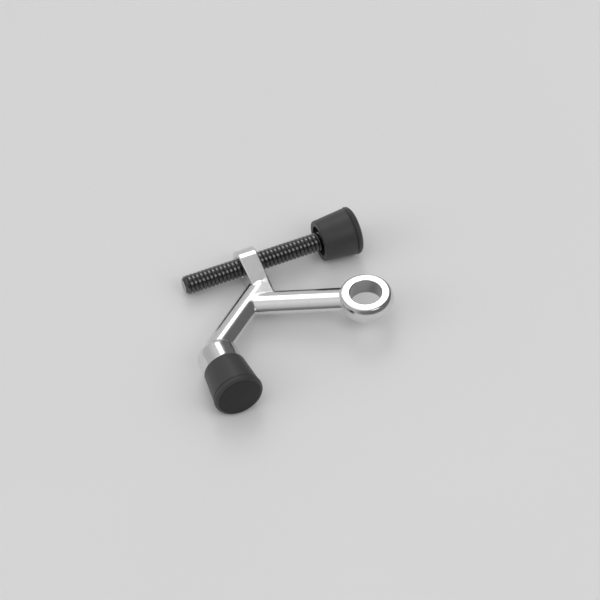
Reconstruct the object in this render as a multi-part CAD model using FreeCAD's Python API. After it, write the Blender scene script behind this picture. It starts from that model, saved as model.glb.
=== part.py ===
"""Hinge pin door stop: a cast Y-shaped body with a hinge-pin eye, a fixed rubber tip and an
adjusting rod that carries a second rubber tip. Millimetres, +Z along the hinge pin."""
import FreeCAD, Part
import math
import os

from FreeCAD import Vector

# Hinge-pin eye, centred on the origin
eye_bore_d = 8.0
eye_face_d = 12.2
eye_outer_d = 14.0
eye_thickness = 4.5
eye_bore_edge = 0.25

# Oval arms of the casting: a long one from the eye to the hub, and a short one that runs from the
# foot of the lug through the hub and bends into the seat
arm_side_radius = 1.45
long_arm_width = 7.0
long_arm_height = 4.2
short_arm_width = 6.3
short_arm_height = 4.35
hub_x = -27.05
hub_y = 10.65
lug_arm_length = 5.6
seat_bend_y = -0.35
seat_bend_radius = 4.2

# Lug that the adjusting rod screws through
lug_x = -22.3
lug_thickness = 4.9
lug_boss_d = 8.5
lug_foot_height = 2.2
lug_edge_round = 0.6

# Adjusting rod, a No. 10 screw thread whose turns stand as rings at the thread's pitch
rod_d = 4.826
rod_length = 44.45
rod_chamfer = 0.6
thread_pitch = 25.4 / 24
thread_depth = 0.6
rod_y = 23.2
rod_free_end_x = -39.75
thread_clearance = 0.05

# Seat of the fixed tip, at the end of the second arm
seat_x = -40.6
seat_face_y = -6.7
seat_length = 6.4
seat_d = 10.5
seat_face_d = 8.8
seat_back_round = 2.4

# Rubber tips, both the same moulding
tip_length = 10.2
tip_small_d = 10.6
tip_large_d = 12.6
tip_lip = 0.2
tip_groove = 0.3
tip_small_round = 0.7
tip_rim_round = 1.3
tip_crown = 0.2
tip_recess_d = 7.8
tip_recess_depth = 2.6
tip_grip_depth = 7.6
tip_clearance = 0.05

FORWARD = Vector(1, 0, 0)
UP = Vector(0, 0, 1)
TOWARDS_SEAT = Vector(0, -1, 0)
ORIGIN = Vector(0, 0, 0)
SAME_PLACE = 0.01

rod_radius = rod_d / 2
hub = Vector(hub_x, hub_y, 0)
seat_centre = Vector(seat_x, seat_face_y, 0)


def line(start, end):
    """Straight edge."""
    return Part.LineSegment(start, end).toShape()


def arc(start, middle, end):
    """Circular edge through three points."""
    return Part.Arc(start, middle, end).toShape()


def chain(points):
    """Straight edges from each point to the next."""
    return [line(a, b) for a, b in zip(points, points[1:])]


def turned(edges):
    """Solid of revolution about Z from a closed chain of edges in the XZ plane."""
    outline = Part.Wire(Part.__sortEdges__(edges))
    return Part.Face(outline).revolve(ORIGIN, UP, 360)


def rims(solid, radius, height):
    """Circular edges about Z of the given radius and height."""
    circles = [e for e in solid.Edges if not e.Degenerated and e.Curve.TypeId == "Part::GeomCircle"]
    level = [e for e in circles if abs(e.Curve.Center.z - height) < SAME_PLACE]
    return [e for e in level if abs(e.Curve.Radius - radius) < SAME_PLACE]


def stood(solid, place, axis):
    """Solid made about Z, moved to a place with its axis along the given direction."""
    solid.Placement = FreeCAD.Placement(place, FreeCAD.Rotation(UP, axis))
    return solid


def build_eye():
    """Barrel-shaped ring around the hinge pin, flat above and below."""
    bore = eye_bore_d / 2
    face = eye_face_d / 2
    half = eye_thickness / 2
    edge = eye_bore_edge
    inside = [Vector(face, 0, half), Vector(bore + edge, 0, half), Vector(bore, 0, half - edge),
              Vector(bore, 0, edge - half), Vector(bore + edge, 0, -half), Vector(face, 0, -half)]
    barrel = arc(inside[-1], Vector(eye_outer_d / 2, 0, 0), inside[0])
    return turned(chain(inside) + [barrel])


def oval_corner(width, height, side_radius):
    """Corner between the crown and side arcs of an oval, and the middle of its half crown."""
    reach = width / 2 - side_radius
    rise = height / 2
    crown_radius = (reach ** 2 + rise ** 2 - side_radius ** 2) / (2 * (rise - side_radius))
    lean = math.atan2(reach, crown_radius - rise)
    corner = Vector(reach + side_radius * math.sin(lean), 0, side_radius * math.cos(lean))
    crown = Vector(crown_radius * math.sin(lean / 2), 0, rise - crown_radius * (1 - math.cos(lean / 2)))
    return corner, crown


def oval(centre, direction, width, height, side_radius):
    """Oval face of four arcs, square to a level direction."""
    side = UP.cross(direction).normalize()
    corner, _ = oval_corner(width, height, side_radius)
    across = side * corner.x
    up = UP * corner.z
    rise = UP * (height / 2)
    corners = [centre + across + up, centre - across + up, centre - across - up, centre + across - up]
    crests = [centre + rise, centre - side * (width / 2), centre - rise, centre + side * (width / 2)]
    edges = [arc(a, crest, b) for a, crest, b in zip(corners, crests, corners[1:] + corners[:1])]
    return Part.Face(Part.Wire(edges))


def oval_end(centre, outward, width, height, side_radius):
    """Round end of an oval bar: half its outline, turned half a turn on its outward side."""
    corner, crown = oval_corner(width, height, side_radius)
    low_corner = Vector(corner.x, 0, -corner.z)
    low_crown = Vector(crown.x, 0, -crown.z)
    top = UP * (height / 2)
    edges = [arc(top, crown, corner), arc(corner, Vector(width / 2, 0, 0), low_corner),
             arc(low_corner, low_crown, -top), line(-top, top)]
    end = Part.Face(Part.Wire(edges)).revolve(ORIGIN, UP, 180)
    end.Placement = FreeCAD.Placement(centre, FreeCAD.Rotation(-TOWARDS_SEAT, outward))
    return end


def bent_bar(points, radii, section):
    """Bar along the points, with a bend of the given radius at each inner point."""
    lengths = []
    for before, corner, after, radius in zip(points, points[1:], points[2:], radii):
        to_before = before.sub(corner).normalize()
        to_after = after.sub(corner).normalize()
        half_angle = to_before.getAngle(to_after) / 2
        tangent = radius / math.tan(half_angle)
        bend_start = corner.add(to_before * tangent)
        bend_end = corner.add(to_after * tangent)
        pivot = corner.add(to_before.add(to_after).normalize() * (radius / math.sin(half_angle)))
        turn = 180 - math.degrees(2 * half_angle)
        axis = to_after.cross(to_before).normalize()
        lengths.append(section.extrude(bend_start.sub(section.CenterOfMass)))
        section = section.translated(bend_start.sub(section.CenterOfMass))
        lengths.append(section.revolve(pivot, axis, turn))
        section = section.rotated(pivot, axis, turn)
        section = section.translated(bend_end.sub(section.CenterOfMass))
    lengths.append(section.extrude(points[-1].sub(section.CenterOfMass)))
    return lengths[0].multiFuse(lengths[1:]).removeSplitter()


def build_long_arm():
    """Straight arm from the eye into the hub."""
    return oval(ORIGIN, hub, long_arm_width, long_arm_height, arm_side_radius).extrude(hub)


def build_short_arm():
    """Arm that starts round under the lug, passes the hub and bends into the seat."""
    bend = Vector(seat_x, seat_bend_y, 0)
    run = bend.sub(hub).normalize()
    start = hub.sub(run * lug_arm_length)
    section = oval(start, run, short_arm_width, short_arm_height, arm_side_radius)
    arm = bent_bar([start, bend, seat_centre], [seat_bend_radius], section)
    return arm.fuse(oval_end(start, -run, short_arm_width, short_arm_height, arm_side_radius))


def build_lug():
    """Teardrop lug: a round boss about the rod whose sides run straight down into the hub."""
    boss = lug_boss_d / 2
    rise = rod_y - hub_y
    foot = lug_foot_height / 2
    reach = math.hypot(rise, foot)
    slope = math.asin(boss / reach) - math.atan2(foot, rise)
    tail = Vector(0, hub_y, foot)
    crest = Vector(0, rod_y - boss * math.sin(slope), boss * math.cos(slope))
    low_crest = Vector(0, crest.y, -crest.z)
    low_tail = Vector(0, hub_y, -foot)
    nose = arc(crest, Vector(0, rod_y + boss, 0), low_crest)
    outline = Part.Wire([line(tail, crest), nose, line(low_crest, low_tail), line(low_tail, tail)])
    lug = Part.Face(outline).extrude(FORWARD * lug_thickness)
    lug.translate(FORWARD * (lug_x - lug_thickness / 2))
    outlines = [e for e in lug.Edges if e.BoundBox.XLength < SAME_PLACE]
    sides = [e for e in outlines if e.BoundBox.YLength > SAME_PLACE]
    return lug.makeFillet(lug_edge_round, sides)


def build_seat():
    """Round seat behind the fixed tip, with the stud that the tip is pushed onto."""
    back = -seat_length
    outline = [Vector(0, 0, back), Vector(seat_d / 2, 0, back), Vector(seat_d / 2, 0, back + seat_back_round),
               Vector(seat_face_d / 2, 0, 0), Vector(rod_radius, 0, 0), Vector(rod_radius, 0, tip_grip_depth),
               Vector(0, 0, tip_grip_depth), Vector(0, 0, back)]
    seat = turned(chain(outline))
    seat = seat.makeChamfer(rod_chamfer, rims(seat, rod_radius, tip_grip_depth))
    rounding = seat_back_round - SAME_PLACE
    seat = seat.makeFillet(rounding, rims(seat, seat_d / 2, back))
    return stood(seat, seat_centre, TOWARDS_SEAT)


def build_casting():
    """The one-piece Y casting, with its bore and the rod's hole."""
    body = build_short_arm().multiFuse([build_long_arm(), build_lug(), build_seat(), build_eye()])
    bore = Part.makeCylinder(eye_bore_d / 2, eye_thickness, UP * (-eye_thickness / 2))
    lug_face = Vector(lug_x - lug_thickness / 2, rod_y, 0)
    rod_hole = Part.makeCylinder(rod_radius + thread_clearance, lug_thickness, lug_face, FORWARD)
    return body.cut(bore).cut(rod_hole).removeSplitter()


def build_rod():
    """Adjusting rod: one ridge for each turn of its thread, and a plain root at both ends."""
    root = rod_radius - thread_depth
    ridges = round(rod_length / thread_pitch) - 1
    start = (rod_length - ridges * thread_pitch) / 2
    outline = [ORIGIN, Vector(root, 0, 0), Vector(root, 0, start)]
    for ridge in range(ridges):
        foot = start + ridge * thread_pitch
        outline.append(Vector(rod_radius, 0, foot + thread_pitch / 2))
        outline.append(Vector(root, 0, foot + thread_pitch))
    outline += [Vector(root, 0, rod_length), UP * rod_length, ORIGIN]
    return stood(turned(chain(outline)), Vector(rod_free_end_x, rod_y, 0), FORWARD)


def build_tip(place, axis):
    """Rubber tip: a tapered cup, a groove behind the lip of its face, and a socket for the rod."""
    small = tip_small_d / 2
    large = tip_large_d / 2
    recess = tip_recess_d / 2
    socket = rod_radius + tip_clearance
    lip_start = tip_length - tip_rim_round
    body_end = large - tip_lip
    bottom = tip_grip_depth + tip_clearance
    outside = [Vector(0, 0, bottom), Vector(socket, 0, bottom), Vector(socket, 0, tip_recess_depth),
               Vector(recess, 0, tip_recess_depth), Vector(recess, 0, 0), Vector(small, 0, 0),
               Vector(body_end, 0, lip_start - tip_groove * 2), Vector(body_end - tip_groove, 0, lip_start - tip_groove),
               Vector(large, 0, lip_start), Vector(large, 0, tip_length)]
    crown = Vector(0, 0, tip_length + tip_crown)
    dome_radius = (large ** 2 + tip_crown ** 2) / (2 * tip_crown)
    dome_centre = Vector(0, 0, crown.z - dome_radius)
    dome_middle = outside[-1].add(crown).sub(dome_centre * 2).normalize() * dome_radius
    dome = arc(outside[-1], dome_centre.add(dome_middle), crown)
    tip = turned(chain(outside) + [dome, line(crown, outside[0])])
    tip = tip.makeFillet(tip_rim_round - SAME_PLACE, rims(tip, large, tip_length))
    tip = tip.makeFillet(tip_small_round, rims(tip, small, 0))
    return stood(tip, place, axis)


rod_tip_x = rod_free_end_x + rod_length - tip_grip_depth
pieces = {
    "cast_body": build_casting(),
    "threaded_rod": build_rod(),
    "rod_tip": build_tip(Vector(rod_tip_x, rod_y, 0), FORWARD),
    "fixed_tip": build_tip(seat_centre, TOWARDS_SEAT),
}

os.makedirs("parts", exist_ok=True)
for name, shape in pieces.items():
    shape.exportStep(f"parts/{name}.step")
    print(name, shape.isValid(), len(shape.Solids), round(shape.Volume, 2))
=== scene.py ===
"""Looks of the hinge pin door stop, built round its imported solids: the plated casting with its
blended hub, the cut thread of the rod, the rubber tips, their materials, the light and the camera."""

import math

import bmesh
import bpy
import numpy as np
from mathutils import Matrix, Vector


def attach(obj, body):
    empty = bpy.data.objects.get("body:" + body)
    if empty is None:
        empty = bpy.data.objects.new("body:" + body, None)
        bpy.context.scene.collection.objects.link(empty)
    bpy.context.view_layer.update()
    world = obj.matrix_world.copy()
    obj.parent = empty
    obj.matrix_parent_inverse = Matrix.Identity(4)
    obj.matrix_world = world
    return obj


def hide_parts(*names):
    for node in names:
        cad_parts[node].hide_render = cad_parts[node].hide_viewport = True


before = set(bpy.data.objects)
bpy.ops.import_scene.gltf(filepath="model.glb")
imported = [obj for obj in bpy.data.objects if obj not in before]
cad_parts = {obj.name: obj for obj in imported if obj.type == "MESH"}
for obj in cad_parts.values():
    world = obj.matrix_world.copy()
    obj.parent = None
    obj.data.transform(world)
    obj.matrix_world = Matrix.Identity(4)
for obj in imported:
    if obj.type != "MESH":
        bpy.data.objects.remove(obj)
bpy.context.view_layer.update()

MM = 0.001

# Casting, in millimetres
EYE_BORE = 4.0
EYE_FACE = 6.1
EYE_OUTER = 7.0
EYE_HALF = 2.25
ARM_SIDE = 1.45
LONG_ARM_WIDTH = 7.0
LONG_ARM_HEIGHT = 4.2
LONG_ARM_STOP = 0.6
SHORT_ARM_WIDTH = 6.3
SHORT_ARM_HEIGHT = 4.35
EYE = np.zeros(2)
HUB = np.array((-27.05, 10.65))
LUG_ARM_LENGTH = 5.6
SEAT_BEND = np.array((-40.6, -0.35))
SEAT_BEND_RADIUS = 4.2
WEB_TILT = math.radians(8)
WEB_END = -20.2
WEB_TOP = 16.0
LUG_X = -22.3
LUG_THICKNESS = 4.9
LUG_FOOT_THICKNESS = 4.5
LUG_BOSS = 4.25
LUG_FOOT = 1.1
LUG_EDGE = 0.25
SEAT_FACE = np.array((-40.6, -6.7))
SEAT_LENGTH = 6.4
SEAT_RADIUS = 5.25
SEAT_FACE_RADIUS = 5.0
SEAT_ROUND = 2.4

# Widths of the casting's blends and edge rounds
HUB_BLEND = 0.2
EYE_BLEND = 0.45
SEAT_BLEND = 1.2
SIDE_ROUND = 0.3
EYE_ROUND = 0.25
BORE_ROUND = 0.22
SEAT_EDGE = 0.4

# Rod and tips
ROD_Y = 23.2
ROD_RADIUS = 2.413
ROD_START = -39.75
ROD_LENGTH = 44.45
ROD_HOLE = 2.463
ROD_MOUTH = 0.45
PITCH = 25.4 / 24
THREAD_DEPTH = 0.6134 * PITCH
TIP_LENGTH = 10.2
TIP_GRIP = 7.6
TIP_SMALL = 5.3
TIP_LARGE = 6.3
TIP_LIP = 0.2
TIP_GROOVE = 0.3
TIP_PAD = 8.9
TIP_SOCKET = 2.463
TIP_RECESS = 3.9
TIP_RECESS_DEPTH = 2.6
PAD_EDGE = 0.12
PAD_CROWN = 0.2
SOCKET_END = TIP_GRIP + 0.05
TIP_BODY_END = TIP_LARGE - TIP_LIP

# Sampling of the casting
STEP = 0.2
MARGIN = 0.83
RELAX_ROUNDS = 6
PROBE = 0.01


def smooth_union(first, second, blend):
    """Both fields together, with a fillet about as wide as blend."""
    share = np.clip(0.5 + 0.5 * (second - first) / blend, 0, 1)
    return second + (first - second) * share - blend * share * (1 - share)


def smooth_common(first, second, blend):
    """What both fields hold, with its edge rounded."""
    return -smooth_union(-first, -second, blend)


def crown_arc(width, tall, side_radius):
    """Radius of an oval's crown arc, and how far its centre lies below the middle."""
    reach = width / 2 - side_radius
    half = tall / 2
    radius = (reach ** 2 + half ** 2 - side_radius ** 2) / (2 * (half - side_radius))
    return radius, radius - half


def oval_field(across, height, width, tall, side_radius):
    """Distance from an oval outline of four arcs."""
    across = np.abs(across)
    height = np.abs(height)
    reach = width / 2 - side_radius
    crown, drop = crown_arc(width, tall, side_radius)
    on_side = reach * (height + drop) < drop * across
    side = np.hypot(across - reach, height) - side_radius
    return np.where(on_side, side, np.hypot(across, height + drop) - crown)


def run_distance(x, y, start, end):
    """Distance in plan from a straight run."""
    run = end - start
    along = ((x - start[0]) * run[0] + (y - start[1]) * run[1]) / (run @ run)
    along = np.clip(along, 0, 1)
    return np.hypot(x - start[0] - along * run[0], y - start[1] - along * run[1])


def bend_distance(x, y, before, corner, after, radius):
    """Distance in plan from the arc that rounds a corner, and the arc's two ends."""
    back = (before - corner) / np.linalg.norm(before - corner)
    ahead = (after - corner) / np.linalg.norm(after - corner)
    half_angle = math.acos(back @ ahead) / 2
    middle = (back + ahead) / np.linalg.norm(back + ahead)
    pivot = corner + middle * (radius / math.sin(half_angle))
    away = np.hypot(x - pivot[0], y - pivot[1])
    facing = -((x - pivot[0]) * middle[0] + (y - pivot[1]) * middle[1])
    distance = np.where(facing > away * math.sin(half_angle), np.abs(away - radius), np.inf)
    tangent = radius / math.tan(half_angle)
    return distance, corner + back * tangent, corner + ahead * tangent


def long_arm_field(x, y, z):
    """The arm from the eye into the hub."""
    end = HUB + (EYE - HUB) / np.linalg.norm(EYE - HUB) * LONG_ARM_STOP
    plan = run_distance(x, y, EYE, end)
    return oval_field(plan, z, LONG_ARM_WIDTH, LONG_ARM_HEIGHT, ARM_SIDE)


def short_arm_field(x, y, z):
    """The arm that starts round under the lug, passes the hub and bends into the seat."""
    run = (SEAT_BEND - HUB) / np.linalg.norm(SEAT_BEND - HUB)
    start = HUB - run * LUG_ARM_LENGTH
    end = SEAT_FACE + np.array((0, SHORT_ARM_WIDTH / 2))
    arc, bend_in, bend_out = bend_distance(x, y, HUB, SEAT_BEND, SEAT_FACE, SEAT_BEND_RADIUS)
    plan = np.minimum(run_distance(x, y, start, bend_in), run_distance(x, y, bend_out, end))
    return oval_field(np.minimum(plan, arc), z, SHORT_ARM_WIDTH, SHORT_ARM_HEIGHT, ARM_SIDE)


def web_field(x, y, z):
    """The filled corner between the end of the short arm, the lug's side and the long arm."""
    crown, drop = crown_arc(SHORT_ARM_WIDTH, SHORT_ARM_HEIGHT, ARM_SIDE)
    short_run = (HUB - SEAT_BEND) / np.linalg.norm(HUB - SEAT_BEND)
    long_run = (EYE - HUB) / np.linalg.norm(EYE - HUB)
    aside = (x - HUB[0]) * short_run[1] - (y - HUB[1]) * short_run[0]
    beyond = (y - HUB[1]) * long_run[0] - (x - HUB[0]) * long_run[1]
    corner = np.maximum(np.maximum(crown * math.sin(WEB_TILT) - aside, -beyond), y - WEB_TOP)
    flat = aside * math.sin(WEB_TILT) + (np.abs(z) + drop) * math.cos(WEB_TILT) - crown
    return np.maximum(corner, flat)


def lug_field(x, y, z):
    """The teardrop lug, a little thinner at its foot, with rounded edges."""
    rise = ROD_Y - HUB[1]
    slope = math.asin(LUG_BOSS / math.hypot(rise, LUG_FOOT)) - math.atan2(LUG_FOOT, rise)
    tall = np.abs(z)
    ahead = (y - ROD_Y) * math.cos(slope) + tall * math.sin(slope)
    flat = (ROD_Y - y) * math.sin(slope) + tall * math.cos(slope)
    outline = np.where(ahead > 0, np.hypot(y - ROD_Y, z), flat) - LUG_BOSS
    outline = np.maximum(outline, HUB[1] - y) + LUG_EDGE
    lean = np.clip((ROD_Y - y) / rise, 0, 1)
    thickness = LUG_THICKNESS + (LUG_FOOT_THICKNESS - LUG_THICKNESS) * lean
    beside = np.abs(x - LUG_X) - thickness / 2 + LUG_EDGE
    outside = np.hypot(np.maximum(outline, 0), np.maximum(beside, 0))
    return outside + np.minimum(np.maximum(outline, beside), 0) - LUG_EDGE


def eye_field(x, y, z):
    """The barrel-sided ring, before its bore."""
    away = np.hypot(x, y)
    bulge = EYE_OUTER - EYE_FACE
    barrel = (EYE_HALF ** 2 + bulge ** 2) / (2 * bulge)
    side = np.hypot(away - EYE_OUTER + barrel, z) - barrel
    return smooth_common(side, np.abs(z) - EYE_HALF, EYE_ROUND)


def seat_field(x, y, z):
    """The round seat and its stud, turned about the fixed tip's axis."""
    away = np.hypot(x - SEAT_FACE[0], z)
    depth = SEAT_FACE[1] + SEAT_LENGTH - y
    across = away - SEAT_RADIUS + SEAT_ROUND
    behind = SEAT_ROUND - depth
    shoulder = np.hypot(np.maximum(across, 0), np.maximum(behind, 0))
    shoulder = shoulder + np.minimum(np.maximum(across, behind), 0) - SEAT_ROUND
    taper = math.atan2(SEAT_RADIUS - SEAT_FACE_RADIUS, SEAT_LENGTH - SEAT_ROUND)
    cone = (away - SEAT_RADIUS) * math.cos(taper) + (depth - SEAT_ROUND) * math.sin(taper)
    seat = smooth_common(shoulder, cone, SEAT_EDGE)
    seat = smooth_common(seat, depth - SEAT_LENGTH, SEAT_EDGE)
    stud = np.maximum(away - ROD_RADIUS, np.maximum(depth - SEAT_LENGTH - TIP_GRIP, -depth))
    return np.minimum(seat, stud)


def casting_field(x, y, z):
    """The whole casting: negative inside, zero on its surface."""
    short_arm = np.minimum(short_arm_field(x, y, z), web_field(x, y, z))
    short_arm = smooth_common(short_arm, x - WEB_END, SIDE_ROUND)
    body = smooth_union(long_arm_field(x, y, z), short_arm, HUB_BLEND)
    body = smooth_union(body, lug_field(x, y, z), HUB_BLEND)
    body = smooth_union(body, eye_field(x, y, z), EYE_BLEND)
    body = smooth_union(body, seat_field(x, y, z), SEAT_BLEND)
    body = smooth_common(body, EYE_BORE - np.hypot(x, y), BORE_ROUND)
    mouth = np.clip(np.abs(x - LUG_X) - LUG_THICKNESS / 2 + ROD_MOUTH, 0, ROD_MOUTH)
    return np.maximum(body, ROD_HOLE + mouth - np.hypot(y - ROD_Y, z))


def surface_net(field, low, step):
    """Points and outward quads of the zero surface of a sampled field."""
    inside = field < 0
    corners = np.array(list(np.ndindex(2, 2, 2)))
    size = np.array(field.shape) - 1
    windows = [tuple(slice(c, c + n) for c, n in zip(corner, size)) for corner in corners]
    filled = sum(inside[window].astype(np.int8) for window in windows)
    cells = np.argwhere((filled > 0) & (filled < len(corners)))
    values = np.stack([field[tuple((cells + corner).T)] for corner in corners], axis=1)
    total = np.zeros((len(cells), 3))
    hits = np.zeros((len(cells), 1))
    for a, first in enumerate(corners):
        for b, second in enumerate(corners):
            if (second - first).min() < 0 or (second - first).sum() != 1:
                continue
            crossing = (values[:, a] < 0) != (values[:, b] < 0)
            change = np.where(crossing, values[:, a] - values[:, b], 1)
            share = np.where(crossing, values[:, a] / change, 0)[:, None]
            total += np.where(crossing[:, None], first + share * (second - first), 0)
            hits += crossing[:, None]
    points = low + step * (cells + total / hits)
    index = np.full(filled.shape, -1)
    index[tuple(cells.T)] = np.arange(len(cells))
    quads = []
    for axis in range(3):
        second, third = (axis + 1) % 3, (axis + 2) % 3
        ahead = np.roll(inside, -1, axis)
        nodes = np.argwhere(inside != ahead)
        shifts = np.zeros((4, 3), int)
        shifts[:, second] = (0, 1, 1, 0)
        shifts[:, third] = (0, 0, 1, 1)
        ring = np.stack([index[tuple((nodes - shift).T)] for shift in shifts], axis=1)
        outward = inside[tuple(nodes.T)]
        quads.append(np.where(outward[:, None], ring, ring[:, ::-1]))
    return points, np.concatenate(quads)


def gradient(field, points):
    """Direction in which a field grows at each point."""
    slopes = []
    for axis in range(3):
        offset = np.zeros(3)
        offset[axis] = PROBE
        slopes.append(field(*(points + offset).T) - field(*(points - offset).T))
    slopes = np.stack(slopes, axis=1)
    return slopes / np.maximum(np.linalg.norm(slopes, axis=1, keepdims=True), 1e-12)


def settle(field, points, quads):
    """Points evened out along the surface and drawn exactly onto it."""
    starts = np.concatenate([quads[:, i] for i in range(4)])
    ends = np.concatenate([quads[:, (i + 1) % 4] for i in range(4)])
    degree = np.bincount(starts, minlength=len(points))[:, None]
    for _ in range(RELAX_ROUNDS):
        sums = [np.bincount(starts, points[ends, axis], len(points)) for axis in range(3)]
        points = (points + np.stack(sums, axis=1) / degree) / 2
        for _ in range(2):
            points = points - field(*points.T)[:, None] * gradient(field, points)
    return points


def new_piece(name, points, faces):
    """Mesh object from points in millimetres, shaded smooth."""
    mesh = bpy.data.meshes.new(name)
    mesh.from_pydata((np.asarray(points) * MM).tolist(), [], [tuple(map(int, face)) for face in faces])
    mesh.polygons.foreach_set("use_smooth", [True] * len(mesh.polygons))
    mesh.update()
    piece = bpy.data.objects.new(name, mesh)
    bpy.context.scene.collection.objects.link(piece)
    return piece


def make_casting():
    """The plated casting as one closed surface."""
    low = np.array((SEAT_FACE[0] - SEAT_RADIUS, SEAT_FACE[1] - TIP_GRIP, -SEAT_RADIUS)) - MARGIN
    high = np.array((EYE_OUTER, ROD_Y + LUG_BOSS, SEAT_RADIUS)) + MARGIN
    ticks = [np.arange(a, b, STEP) for a, b in zip(low, high)]
    samples = casting_field(*np.meshgrid(*ticks, indexing="ij", sparse=True))
    points, quads = surface_net(samples, low, STEP)
    points = settle(casting_field, points, quads)
    piece = new_piece("plated_casting", points, quads)
    piece.data.normals_split_custom_set_from_vertices(gradient(casting_field, points).tolist())
    # Marks the eye's bore, where the plating's colour is darkened as painted shade
    wall = piece.data.attributes.new("shaded_bore_wall", "FLOAT", "POINT")
    in_bore = np.hypot(points[:, 0], points[:, 1]) < EYE_BORE + PROBE
    wall.data.foreach_set("value", in_bore.astype(np.float32))
    return piece


# Thread outline over one pitch: share of the pitch, and share of the depth below the crest
THREAD_OUTLINE = ((0.0, 0.04), (0.04, 0.0), (0.1, 0.0), (0.48, 0.0), (0.54, 0.0), (0.58, 0.04),
                  (0.71, 0.48), (0.75, 0.53), (0.83, 0.53), (0.87, 0.48))
ROUND_STEPS = 56
END_INSET = 0.03
END_RADIUS = ROD_RADIUS - THREAD_DEPTH - END_INSET


def make_rod():
    """The rod with its right-hand thread, cut as one helical strip and chamfered at both ends."""
    rows = [(turn + share, deep) for turn in range(-2, int(ROD_LENGTH / PITCH) + 2)
            for share, deep in THREAD_OUTLINE]
    per_turn = len(THREAD_OUTLINE)
    turns, deeps = np.array(rows).T
    angles = np.arange(ROUND_STEPS) / ROUND_STEPS
    along = np.clip((turns[:, None] + angles[None, :]) * PITCH, 0, ROD_LENGTH)
    radius = np.repeat((ROD_RADIUS - deeps * THREAD_DEPTH)[:, None], ROUND_STEPS, axis=1)
    chamfer = END_RADIUS + np.minimum(along, ROD_LENGTH - along)
    radius = np.minimum(radius, chamfer)
    around = np.broadcast_to(2 * math.pi * angles, radius.shape)
    aside = ROD_Y + radius * np.cos(around)
    points = np.stack([ROD_START + along, aside, radius * np.sin(around)], axis=2)
    faces = []
    for row in range(len(rows) - per_turn - 1):
        for step in range(ROUND_STEPS):
            here = row * ROUND_STEPS + step
            beside = here + 1 if step < ROUND_STEPS - 1 else (row + per_turn) * ROUND_STEPS
            faces.append((here, here + ROUND_STEPS, beside + ROUND_STEPS, beside))
    piece = new_piece("cut_thread_rod", points.reshape(-1, 3), faces)
    # Depth below the crest, which darkens the steel's colour in the grooves as painted shade
    groove = piece.data.attributes.new("groove", "FLOAT", "POINT")
    depth = (ROD_RADIUS - radius.ravel()) / THREAD_DEPTH
    groove.data.foreach_set("value", np.clip(depth, 0, 1).astype(np.float32))
    close_ends(piece)
    return piece


def close_ends(piece):
    """Folded points merged, and the open ends closed with flat faces."""
    shape = bmesh.new()
    shape.from_mesh(piece.data)
    cut = shape.faces.layers.float.new("cut_end")
    bmesh.ops.remove_doubles(shape, verts=shape.verts, dist=PROBE * MM)
    loose = [e for e in shape.edges if e.is_boundary]
    filled = bmesh.ops.holes_fill(shape, edges=loose, sides=0)
    for face in filled["faces"]:
        face.smooth = False
        face[cut] = 1
    bmesh.ops.recalc_face_normals(shape, faces=shape.faces)
    shape.to_mesh(piece.data)
    shape.free()


ARC_STEPS = 8
LATHE_STEPS = 128


def rounded_outline(corners):
    """Outline through (radius, height, rounding) corners, with each corner rounded off."""
    outline = [corners[0][:2]]
    for before, corner, after in zip(corners, corners[1:], corners[2:]):
        at = np.array(corner[:2])
        back = np.array(before[:2]) - at
        ahead = np.array(after[:2]) - at
        back = back / np.linalg.norm(back)
        ahead = ahead / np.linalg.norm(ahead)
        half_angle = math.acos(np.clip(back @ ahead, -1, 1)) / 2
        tangent = corner[2] / math.tan(half_angle)
        middle = (back + ahead) / np.linalg.norm(back + ahead)
        pivot = at + middle * (corner[2] / math.sin(half_angle))
        first = at + back * tangent - pivot
        last = at + ahead * tangent - pivot
        for share in np.linspace(0, 1, ARC_STEPS):
            spoke = first * (1 - share) + last * share
            outline.append(tuple(pivot + spoke / np.linalg.norm(spoke) * corner[2]))
    outline.append(corners[-1][:2])
    return outline


def lathe(name, outline, place, axis):
    """Closed solid turned about an axis; the outline starts and ends on the axis."""
    turn = Vector((0, 0, 1)).rotation_difference(Vector(axis)).to_matrix()
    angles = np.linspace(0, 2 * math.pi, LATHE_STEPS, endpoint=False)
    rings = [np.stack([r * np.cos(angles), r * np.sin(angles), np.full(LATHE_STEPS, h)], axis=1)
             for r, h in outline[1:-1]]
    ends = np.array([(0, 0, outline[0][1]), (0, 0, outline[-1][1])])
    points = np.concatenate(rings + [ends]) @ np.array(turn).T + np.array(place)
    faces = []
    for ring in range(len(rings) - 1):
        for step in range(LATHE_STEPS):
            here = ring * LATHE_STEPS + step
            beside = ring * LATHE_STEPS + (step + 1) % LATHE_STEPS
            faces.append((here, beside, beside + LATHE_STEPS, here + LATHE_STEPS))
    first_end = len(rings) * LATHE_STEPS
    last_ring = first_end - LATHE_STEPS
    for step in range(LATHE_STEPS):
        beside = (step + 1) % LATHE_STEPS
        faces.append((beside, step, first_end))
        faces.append((last_ring + step, last_ring + beside, first_end + 1))
    return new_piece(name, points, faces)


# Corners of a tip from its socket's end to the middle of its pad: radius, height, rounding
TIP_CORNERS = ((0, SOCKET_END, 0), (TIP_SOCKET, SOCKET_END, 0.1),
               (TIP_SOCKET, TIP_RECESS_DEPTH, 0.2), (TIP_RECESS, TIP_RECESS_DEPTH, 0.5),
               (TIP_RECESS, 0, 0.25), (TIP_SMALL, 0, 0.3), (TIP_BODY_END, TIP_PAD - 2 * TIP_GROOVE, 0.1),
               (TIP_BODY_END - TIP_GROOVE, TIP_PAD - TIP_GROOVE, 0.08), (TIP_LARGE, TIP_PAD, 0.12),
               (TIP_LARGE - 0.15, TIP_LENGTH - 0.55, 0.5), (TIP_LARGE - 0.9, TIP_LENGTH, 0.9),
               (0.3, TIP_LENGTH + PAD_CROWN, 0.1), (0, TIP_LENGTH + PAD_CROWN, 0))


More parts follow.
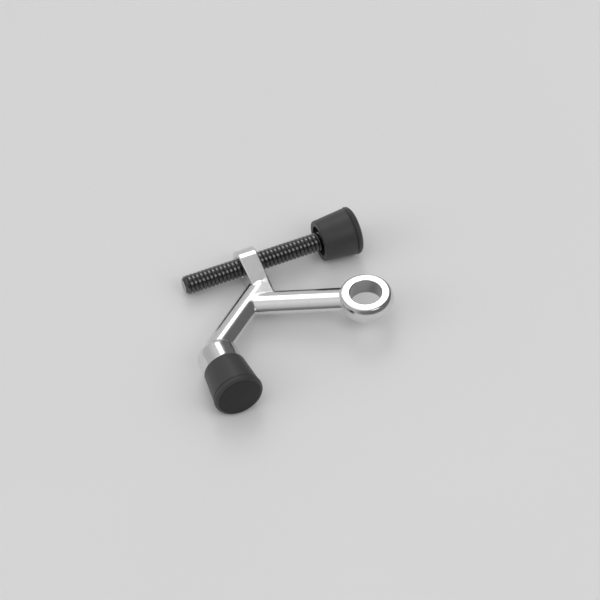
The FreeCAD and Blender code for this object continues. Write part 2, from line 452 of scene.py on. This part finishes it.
def make_tip(name, place, axis):
    """A rubber tip: tapered cup, a groove behind its rounded pad, and a socket with a wide mouth."""
    outline = rounded_outline(TIP_CORNERS)
    tip = lathe(name, outline, place, axis)
    # Marks the face of the pad, whose rubber is darkened as painted shade
    pad = tip.data.attributes.new("shaded_pad_face", "FLOAT", "POINT")
    rings = [float(h > TIP_LENGTH - PAD_EDGE) for _, h in outline[1:-1]]
    marks = np.append(np.repeat(rings, LATHE_STEPS), (0, 1))
    pad.data.foreach_set("value", marks.astype(np.float32))
    return tip


def nodes_of(name):
    """A new node material: the material, its nodes and a function that joins two sockets."""
    material = bpy.data.materials.new(name)
    material.use_nodes = True
    tree = material.node_tree
    return material, tree.nodes, tree.links.new


def noise(nodes, link, place, scale, detail, roughness=0.55):
    """Noise in object coordinates, which are metres."""
    texture = nodes.new("ShaderNodeTexNoise")
    texture.inputs["Scale"].default_value = scale
    texture.inputs["Detail"].default_value = detail
    texture.inputs["Roughness"].default_value = roughness
    link(place.outputs["Object"], texture.inputs["Vector"])
    return texture.outputs["Fac"]


def ramp(nodes, link, factor, low, high):
    """Factor between two values remapped onto low to high."""
    node = nodes.new("ShaderNodeMapRange")
    node.inputs["From Min"].default_value = 0.3
    node.inputs["From Max"].default_value = 0.7
    node.inputs["To Min"].default_value = low
    node.inputs["To Max"].default_value = high
    link(factor, node.inputs["Value"])
    return node.outputs["Result"]


def blend_colour(nodes, link, factor, tones):
    """Mix of two colours by a factor."""
    node = nodes.new("ShaderNodeMix")
    node.data_type = "RGBA"
    for socket, tone in zip("AB", tones):
        node.inputs[socket].default_value = (*tone, 1)
    link(factor, node.inputs["Factor"])
    return node.outputs["Result"]


def marked_colour(nodes, link, mark, plain, special):
    """Plain colour, or the special one where the mesh is marked."""
    attribute = nodes.new("ShaderNodeAttribute")
    attribute.attribute_name = mark
    node = nodes.new("ShaderNodeMix")
    node.data_type = "RGBA"
    link(attribute.outputs["Fac"], node.inputs["Factor"])
    link(plain, node.inputs["A"])
    link(special, node.inputs["B"])
    return node.outputs["Result"]


def bump(nodes, link, height, strength, distance):
    """Surface relief from a height, in metres."""
    node = nodes.new("ShaderNodeBump")
    node.inputs["Strength"].default_value = strength
    node.inputs["Distance"].default_value = distance
    link(height, node.inputs["Height"])
    return node.outputs["Normal"]


# The two tones that each surface varies between
PLATING = ((0.72, 0.72, 0.725), (0.79, 0.79, 0.792))
# Plating of the eye's bore, darkened as painted shade
BORE_SHADE_PLATING = ((0.32, 0.32, 0.322), (0.42, 0.42, 0.422))
# Steel from crest to groove, the groove darker as painted shade
CREST_TO_SHADED_GROOVE = ((0.14, 0.14, 0.143), (0.09, 0.09, 0.092))
CUT_STEEL = ((0.3, 0.3, 0.303), (0.42, 0.42, 0.423))
RUBBER = ((0.048, 0.048, 0.0485), (0.066, 0.066, 0.0665))
# Rubber of the pad's face, darkened as painted shade
SHADED_PAD_RUBBER = ((0.014, 0.014, 0.0143), (0.019, 0.019, 0.0193))
TABLE = ((0.86, 0.86, 0.86), (0.9, 0.9, 0.9))


def plated_metal():
    """Bright plating over a lightly wavy casting, its colour darkened in the eye's bore as painted
    shade.
    """
    material, nodes, link = nodes_of("bright_plating")
    shader = nodes["Principled BSDF"]
    place = nodes.new("ShaderNodeTexCoord")
    shader.inputs["Metallic"].default_value = 1
    haze = noise(nodes, link, place, scale=420, detail=3)
    bright = blend_colour(nodes, link, haze, PLATING)
    bore_shade = blend_colour(nodes, link, haze, BORE_SHADE_PLATING)
    # Painted shade: the bore wall takes the darker plating
    link(marked_colour(nodes, link, "shaded_bore_wall", bright, bore_shade), shader.inputs["Base Color"])
    wear = noise(nodes, link, place, scale=900, detail=4)
    link(ramp(nodes, link, wear, low=0.14, high=0.2), shader.inputs["Roughness"])
    waves = noise(nodes, link, place, scale=700, detail=2)
    link(bump(nodes, link, waves, strength=0.3, distance=0.00002), shader.inputs["Normal"])
    return material


def thread_steel():
    """Dark steel, darker in the thread's grooves as painted shade, bare where its ends are cut."""
    material, nodes, link = nodes_of("dark_thread_steel")
    shader = nodes["Principled BSDF"]
    place = nodes.new("ShaderNodeTexCoord")
    shader.inputs["Metallic"].default_value = 1
    groove = nodes.new("ShaderNodeAttribute")
    groove.attribute_name = "groove"
    # Painted shade: the steel darkens with the depth of the groove
    steel = blend_colour(nodes, link, groove.outputs["Fac"], CREST_TO_SHADED_GROOVE)
    bare = blend_colour(nodes, link, noise(nodes, link, place, scale=1800, detail=3), CUT_STEEL)
    link(marked_colour(nodes, link, "cut_end", steel, bare), shader.inputs["Base Color"])
    wear = noise(nodes, link, place, scale=1500, detail=3)
    link(ramp(nodes, link, wear, low=0.16, high=0.24), shader.inputs["Roughness"])
    grain = noise(nodes, link, place, scale=2500, detail=3)
    link(bump(nodes, link, grain, strength=0.3, distance=0.00003), shader.inputs["Normal"])
    return material


def tip_rubber():
    """Moulded rubber with a dull sheen and a faint bloom, darker on the face of its pad as painted
    shade.
    """
    material, nodes, link = nodes_of("moulded_rubber")
    shader = nodes["Principled BSDF"]
    place = nodes.new("ShaderNodeTexCoord")
    shader.inputs["Specular IOR Level"].default_value = 0.35
    bloom = noise(nodes, link, place, scale=260, detail=5, roughness=0.65)
    side = blend_colour(nodes, link, bloom, RUBBER)
    face = blend_colour(nodes, link, bloom, SHADED_PAD_RUBBER)
    # Painted shade: the pad's face takes the darker rubber
    link(marked_colour(nodes, link, "shaded_pad_face", side, face), shader.inputs["Base Color"])
    wear = noise(nodes, link, place, scale=1200, detail=4)
    link(ramp(nodes, link, wear, low=0.36, high=0.46), shader.inputs["Roughness"])
    grain = noise(nodes, link, place, scale=3500, detail=4)
    link(bump(nodes, link, grain, strength=0.4, distance=0.00004), shader.inputs["Normal"])
    return material


casting = make_casting()
rod = make_rod()
rod_tip = make_tip("rod_rubber_tip", (ROD_START + ROD_LENGTH - TIP_GRIP, ROD_Y, 0), (1, 0, 0))
fixed_tip = make_tip("fixed_rubber_tip", (*SEAT_FACE, 0), (0, -1, 0))
rubber = tip_rubber()
dressing = ((casting, "cast_body", "casting", "plated_casting", plated_metal()),
            (rod, "threaded_rod", "rod", "dark_steel", thread_steel()),
            (rod_tip, "rod_tip", "adjustable_tip", "tip_rubber", rubber),
            (fixed_tip, "fixed_tip", "casting", "tip_rubber", rubber))
for piece, node, body, slot, material in dressing:
    piece.data.materials.append(material)
    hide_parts(node)
    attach(piece, body)


def lowest(piece, up):
    """The point of a piece that lies lowest along a direction."""
    return min((v.co for v in piece.data.vertices), key=lambda co: co.dot(up))


REST_ROUNDS = 8


def resting_plane(pieces):
    """Point and upward normal of the plane that just touches all three pieces from below."""
    up = Vector((0, 0, 1))
    for _ in range(REST_ROUNDS):
        a, b, c = (lowest(piece, up) for piece in pieces)
        up = (b - a).cross(c - a).normalized()
        up = up if up.z > 0 else -up
    return a, up


FLOOR_SIZE = 3.0


def make_floor():
    """Pale table top under the part as it lies."""
    point, up = resting_plane((fixed_tip, rod_tip, casting))
    bpy.ops.mesh.primitive_plane_add(size=FLOOR_SIZE, location=point)
    floor = bpy.context.object
    floor.name = "table"
    floor.rotation_euler = up.to_track_quat("Z", "Y").to_euler()
    material, nodes, link = nodes_of("pale_table")
    shader = nodes["Principled BSDF"]
    place = nodes.new("ShaderNodeTexCoord")
    tone = noise(nodes, link, place, scale=9, detail=2)
    link(blend_colour(nodes, link, tone, TABLE), shader.inputs["Base Color"])
    shader.inputs["Roughness"].default_value = 0.6
    shader.inputs["Specular IOR Level"].default_value = 0.2
    floor.data.materials.append(material)


PART_MIDDLE = Vector((-0.02, 0.006, 0))
LIGHT_DISTANCE = 2.0
FILL_SPREAD = 34
# Azimuth and elevation of the fill panels in degrees, and their radiance
FILLS = ((240, 60, 0.85), (0, 30, 0.5), (45, 30, 0.45), (180, 30, 1.1), (315, 30, 0.85))


def add_panel(name, direction, spread, tall, radiance):
    """Soft light panel that faces the part, with its width and height as angles seen from the part."""
    data = bpy.data.lights.new(name, "AREA")
    data.shape = "RECTANGLE"
    data.size = 2 * LIGHT_DISTANCE * math.tan(math.radians(spread / 2))
    data.size_y = 2 * LIGHT_DISTANCE * math.tan(math.radians(tall / 2))
    data.energy = radiance * math.pi * data.size * data.size_y
    lamp = bpy.data.objects.new(name, data)
    towards = Vector(direction).normalized()
    lamp.location = PART_MIDDLE + towards * LIGHT_DISTANCE
    lamp.rotation_euler = towards.to_track_quat("Z", "Y").to_euler()
    bpy.context.scene.collection.objects.link(lamp)
    return lamp


def add_fill(azimuth, elevation, radiance):
    """Fill panel that lights the part but leaves no image in its plating."""
    around = math.radians(azimuth)
    level = math.cos(math.radians(elevation))
    height = math.sin(math.radians(elevation))
    direction = (level * math.cos(around), level * math.sin(around), height)
    fill = add_panel(f"fill_{azimuth}_{elevation}", direction, FILL_SPREAD, FILL_SPREAD, radiance)
    fill.visible_glossy = False


def smooth_step(nodes, link, value, low, high):
    """0 below low, 1 above high, smooth between."""
    node = nodes.new("ShaderNodeMapRange")
    node.interpolation_type = "SMOOTHSTEP"
    node.inputs["From Min"].default_value = low
    node.inputs["From Max"].default_value = high
    link(value, node.inputs["Value"])
    return node.outputs["Result"]


def room_reach(nodes, link, place, direction):
    """How far the looked-at point of the room lies along a level direction."""
    node = nodes.new("ShaderNodeVectorMath")
    node.operation = "DOT_PRODUCT"
    node.inputs[1].default_value = (*direction, 0)
    link(place.outputs["Generated"], node.inputs[0])
    return node.outputs["Value"]


# Level directions away from the viewer and to the viewer's right
AWAY = (0.38, 0.925)
ASIDE = (0.925, -0.38)
# Tones of the room from the front horizon over the ceiling to the back horizon
ROOM_TONES = ((0.0, 0.16), (0.1, 0.24), (0.35, 0.66), (0.5, 0.88), (0.75, 0.66), (1.0, 0.6))
# Where the room's right and left sides begin and are complete, and their tones
SIDE_TONES = ((0.0, 0.3, 0.15), (-0.3, -0.75, 0.5))


def make_room():
    """Studio round the table: pale behind and overhead, dimmer in front, dark to the right."""
    world = bpy.data.worlds.new("studio")
    bpy.context.scene.world = world
    world.use_nodes = True
    nodes = world.node_tree.nodes
    link = world.node_tree.links.new
    place = nodes.new("ShaderNodeTexCoord")
    depth = nodes.new("ShaderNodeMapRange")
    depth.inputs["From Min"].default_value = -1
    link(room_reach(nodes, link, place, AWAY), depth.inputs["Value"])
    tones = nodes.new("ShaderNodeValToRGB")
    stops = tones.color_ramp.elements
    while len(stops) < len(ROOM_TONES):
        stops.new(0.5)
    for stop, (position, tone) in zip(stops, ROOM_TONES):
        stop.position = position
        stop.color = (tone, tone, tone, 1)
    link(depth.outputs["Result"], tones.inputs["Fac"])
    aside = room_reach(nodes, link, place, ASIDE)
    colour = tones.outputs["Color"]
    for begin, complete, tone in SIDE_TONES:
        side = nodes.new("ShaderNodeMix")
        side.data_type = "RGBA"
        side.inputs["B"].default_value = (tone, tone, tone, 1)
        link(smooth_step(nodes, link, aside, begin, complete), side.inputs["Factor"])
        link(colour, side.inputs["A"])
        colour = side.outputs["Result"]
    link(colour, nodes["Background"].inputs["Color"])


# The part as the camera sees it: its turn as axis times angle, and its offset in millimetres
VIEW_TURN = Vector((2.346, -0.495, 0.135))
VIEW_OFFSET = Vector((16.402, -0.443, 597.516))
SENSOR_WIDTH = 36
LENS = 144
CLIP_NEAR = 0.01
CLIP_FAR = 20


def make_camera():
    """Camera at the photograph's viewing angle."""
    data = bpy.data.cameras.new("camera")
    data.sensor_width = SENSOR_WIDTH
    data.lens = LENS
    data.clip_start = CLIP_NEAR
    data.clip_end = CLIP_FAR
    camera = bpy.data.objects.new("camera", data)
    view = Matrix.Rotation(VIEW_TURN.length, 3, VIEW_TURN)
    camera.location = -(view.transposed() @ (VIEW_OFFSET * MM))
    right, down, ahead = view
    camera.rotation_euler = Matrix((right, -down, -ahead)).transposed().to_euler()
    bpy.context.scene.collection.objects.link(camera)
    bpy.context.scene.camera = camera


make_floor()
make_room()
add_panel("back_softbox", direction=(0.2, 0.55, 0.81), spread=17, tall=28, radiance=1.7)
add_panel("front_softbox", direction=(0.26, -0.62, 0.74), spread=24, tall=28, radiance=1.5)
for azimuth, elevation, radiance in FILLS:
    add_fill(azimuth, elevation, radiance)
make_camera()
bpy.context.scene.view_settings.view_transform = "Standard"
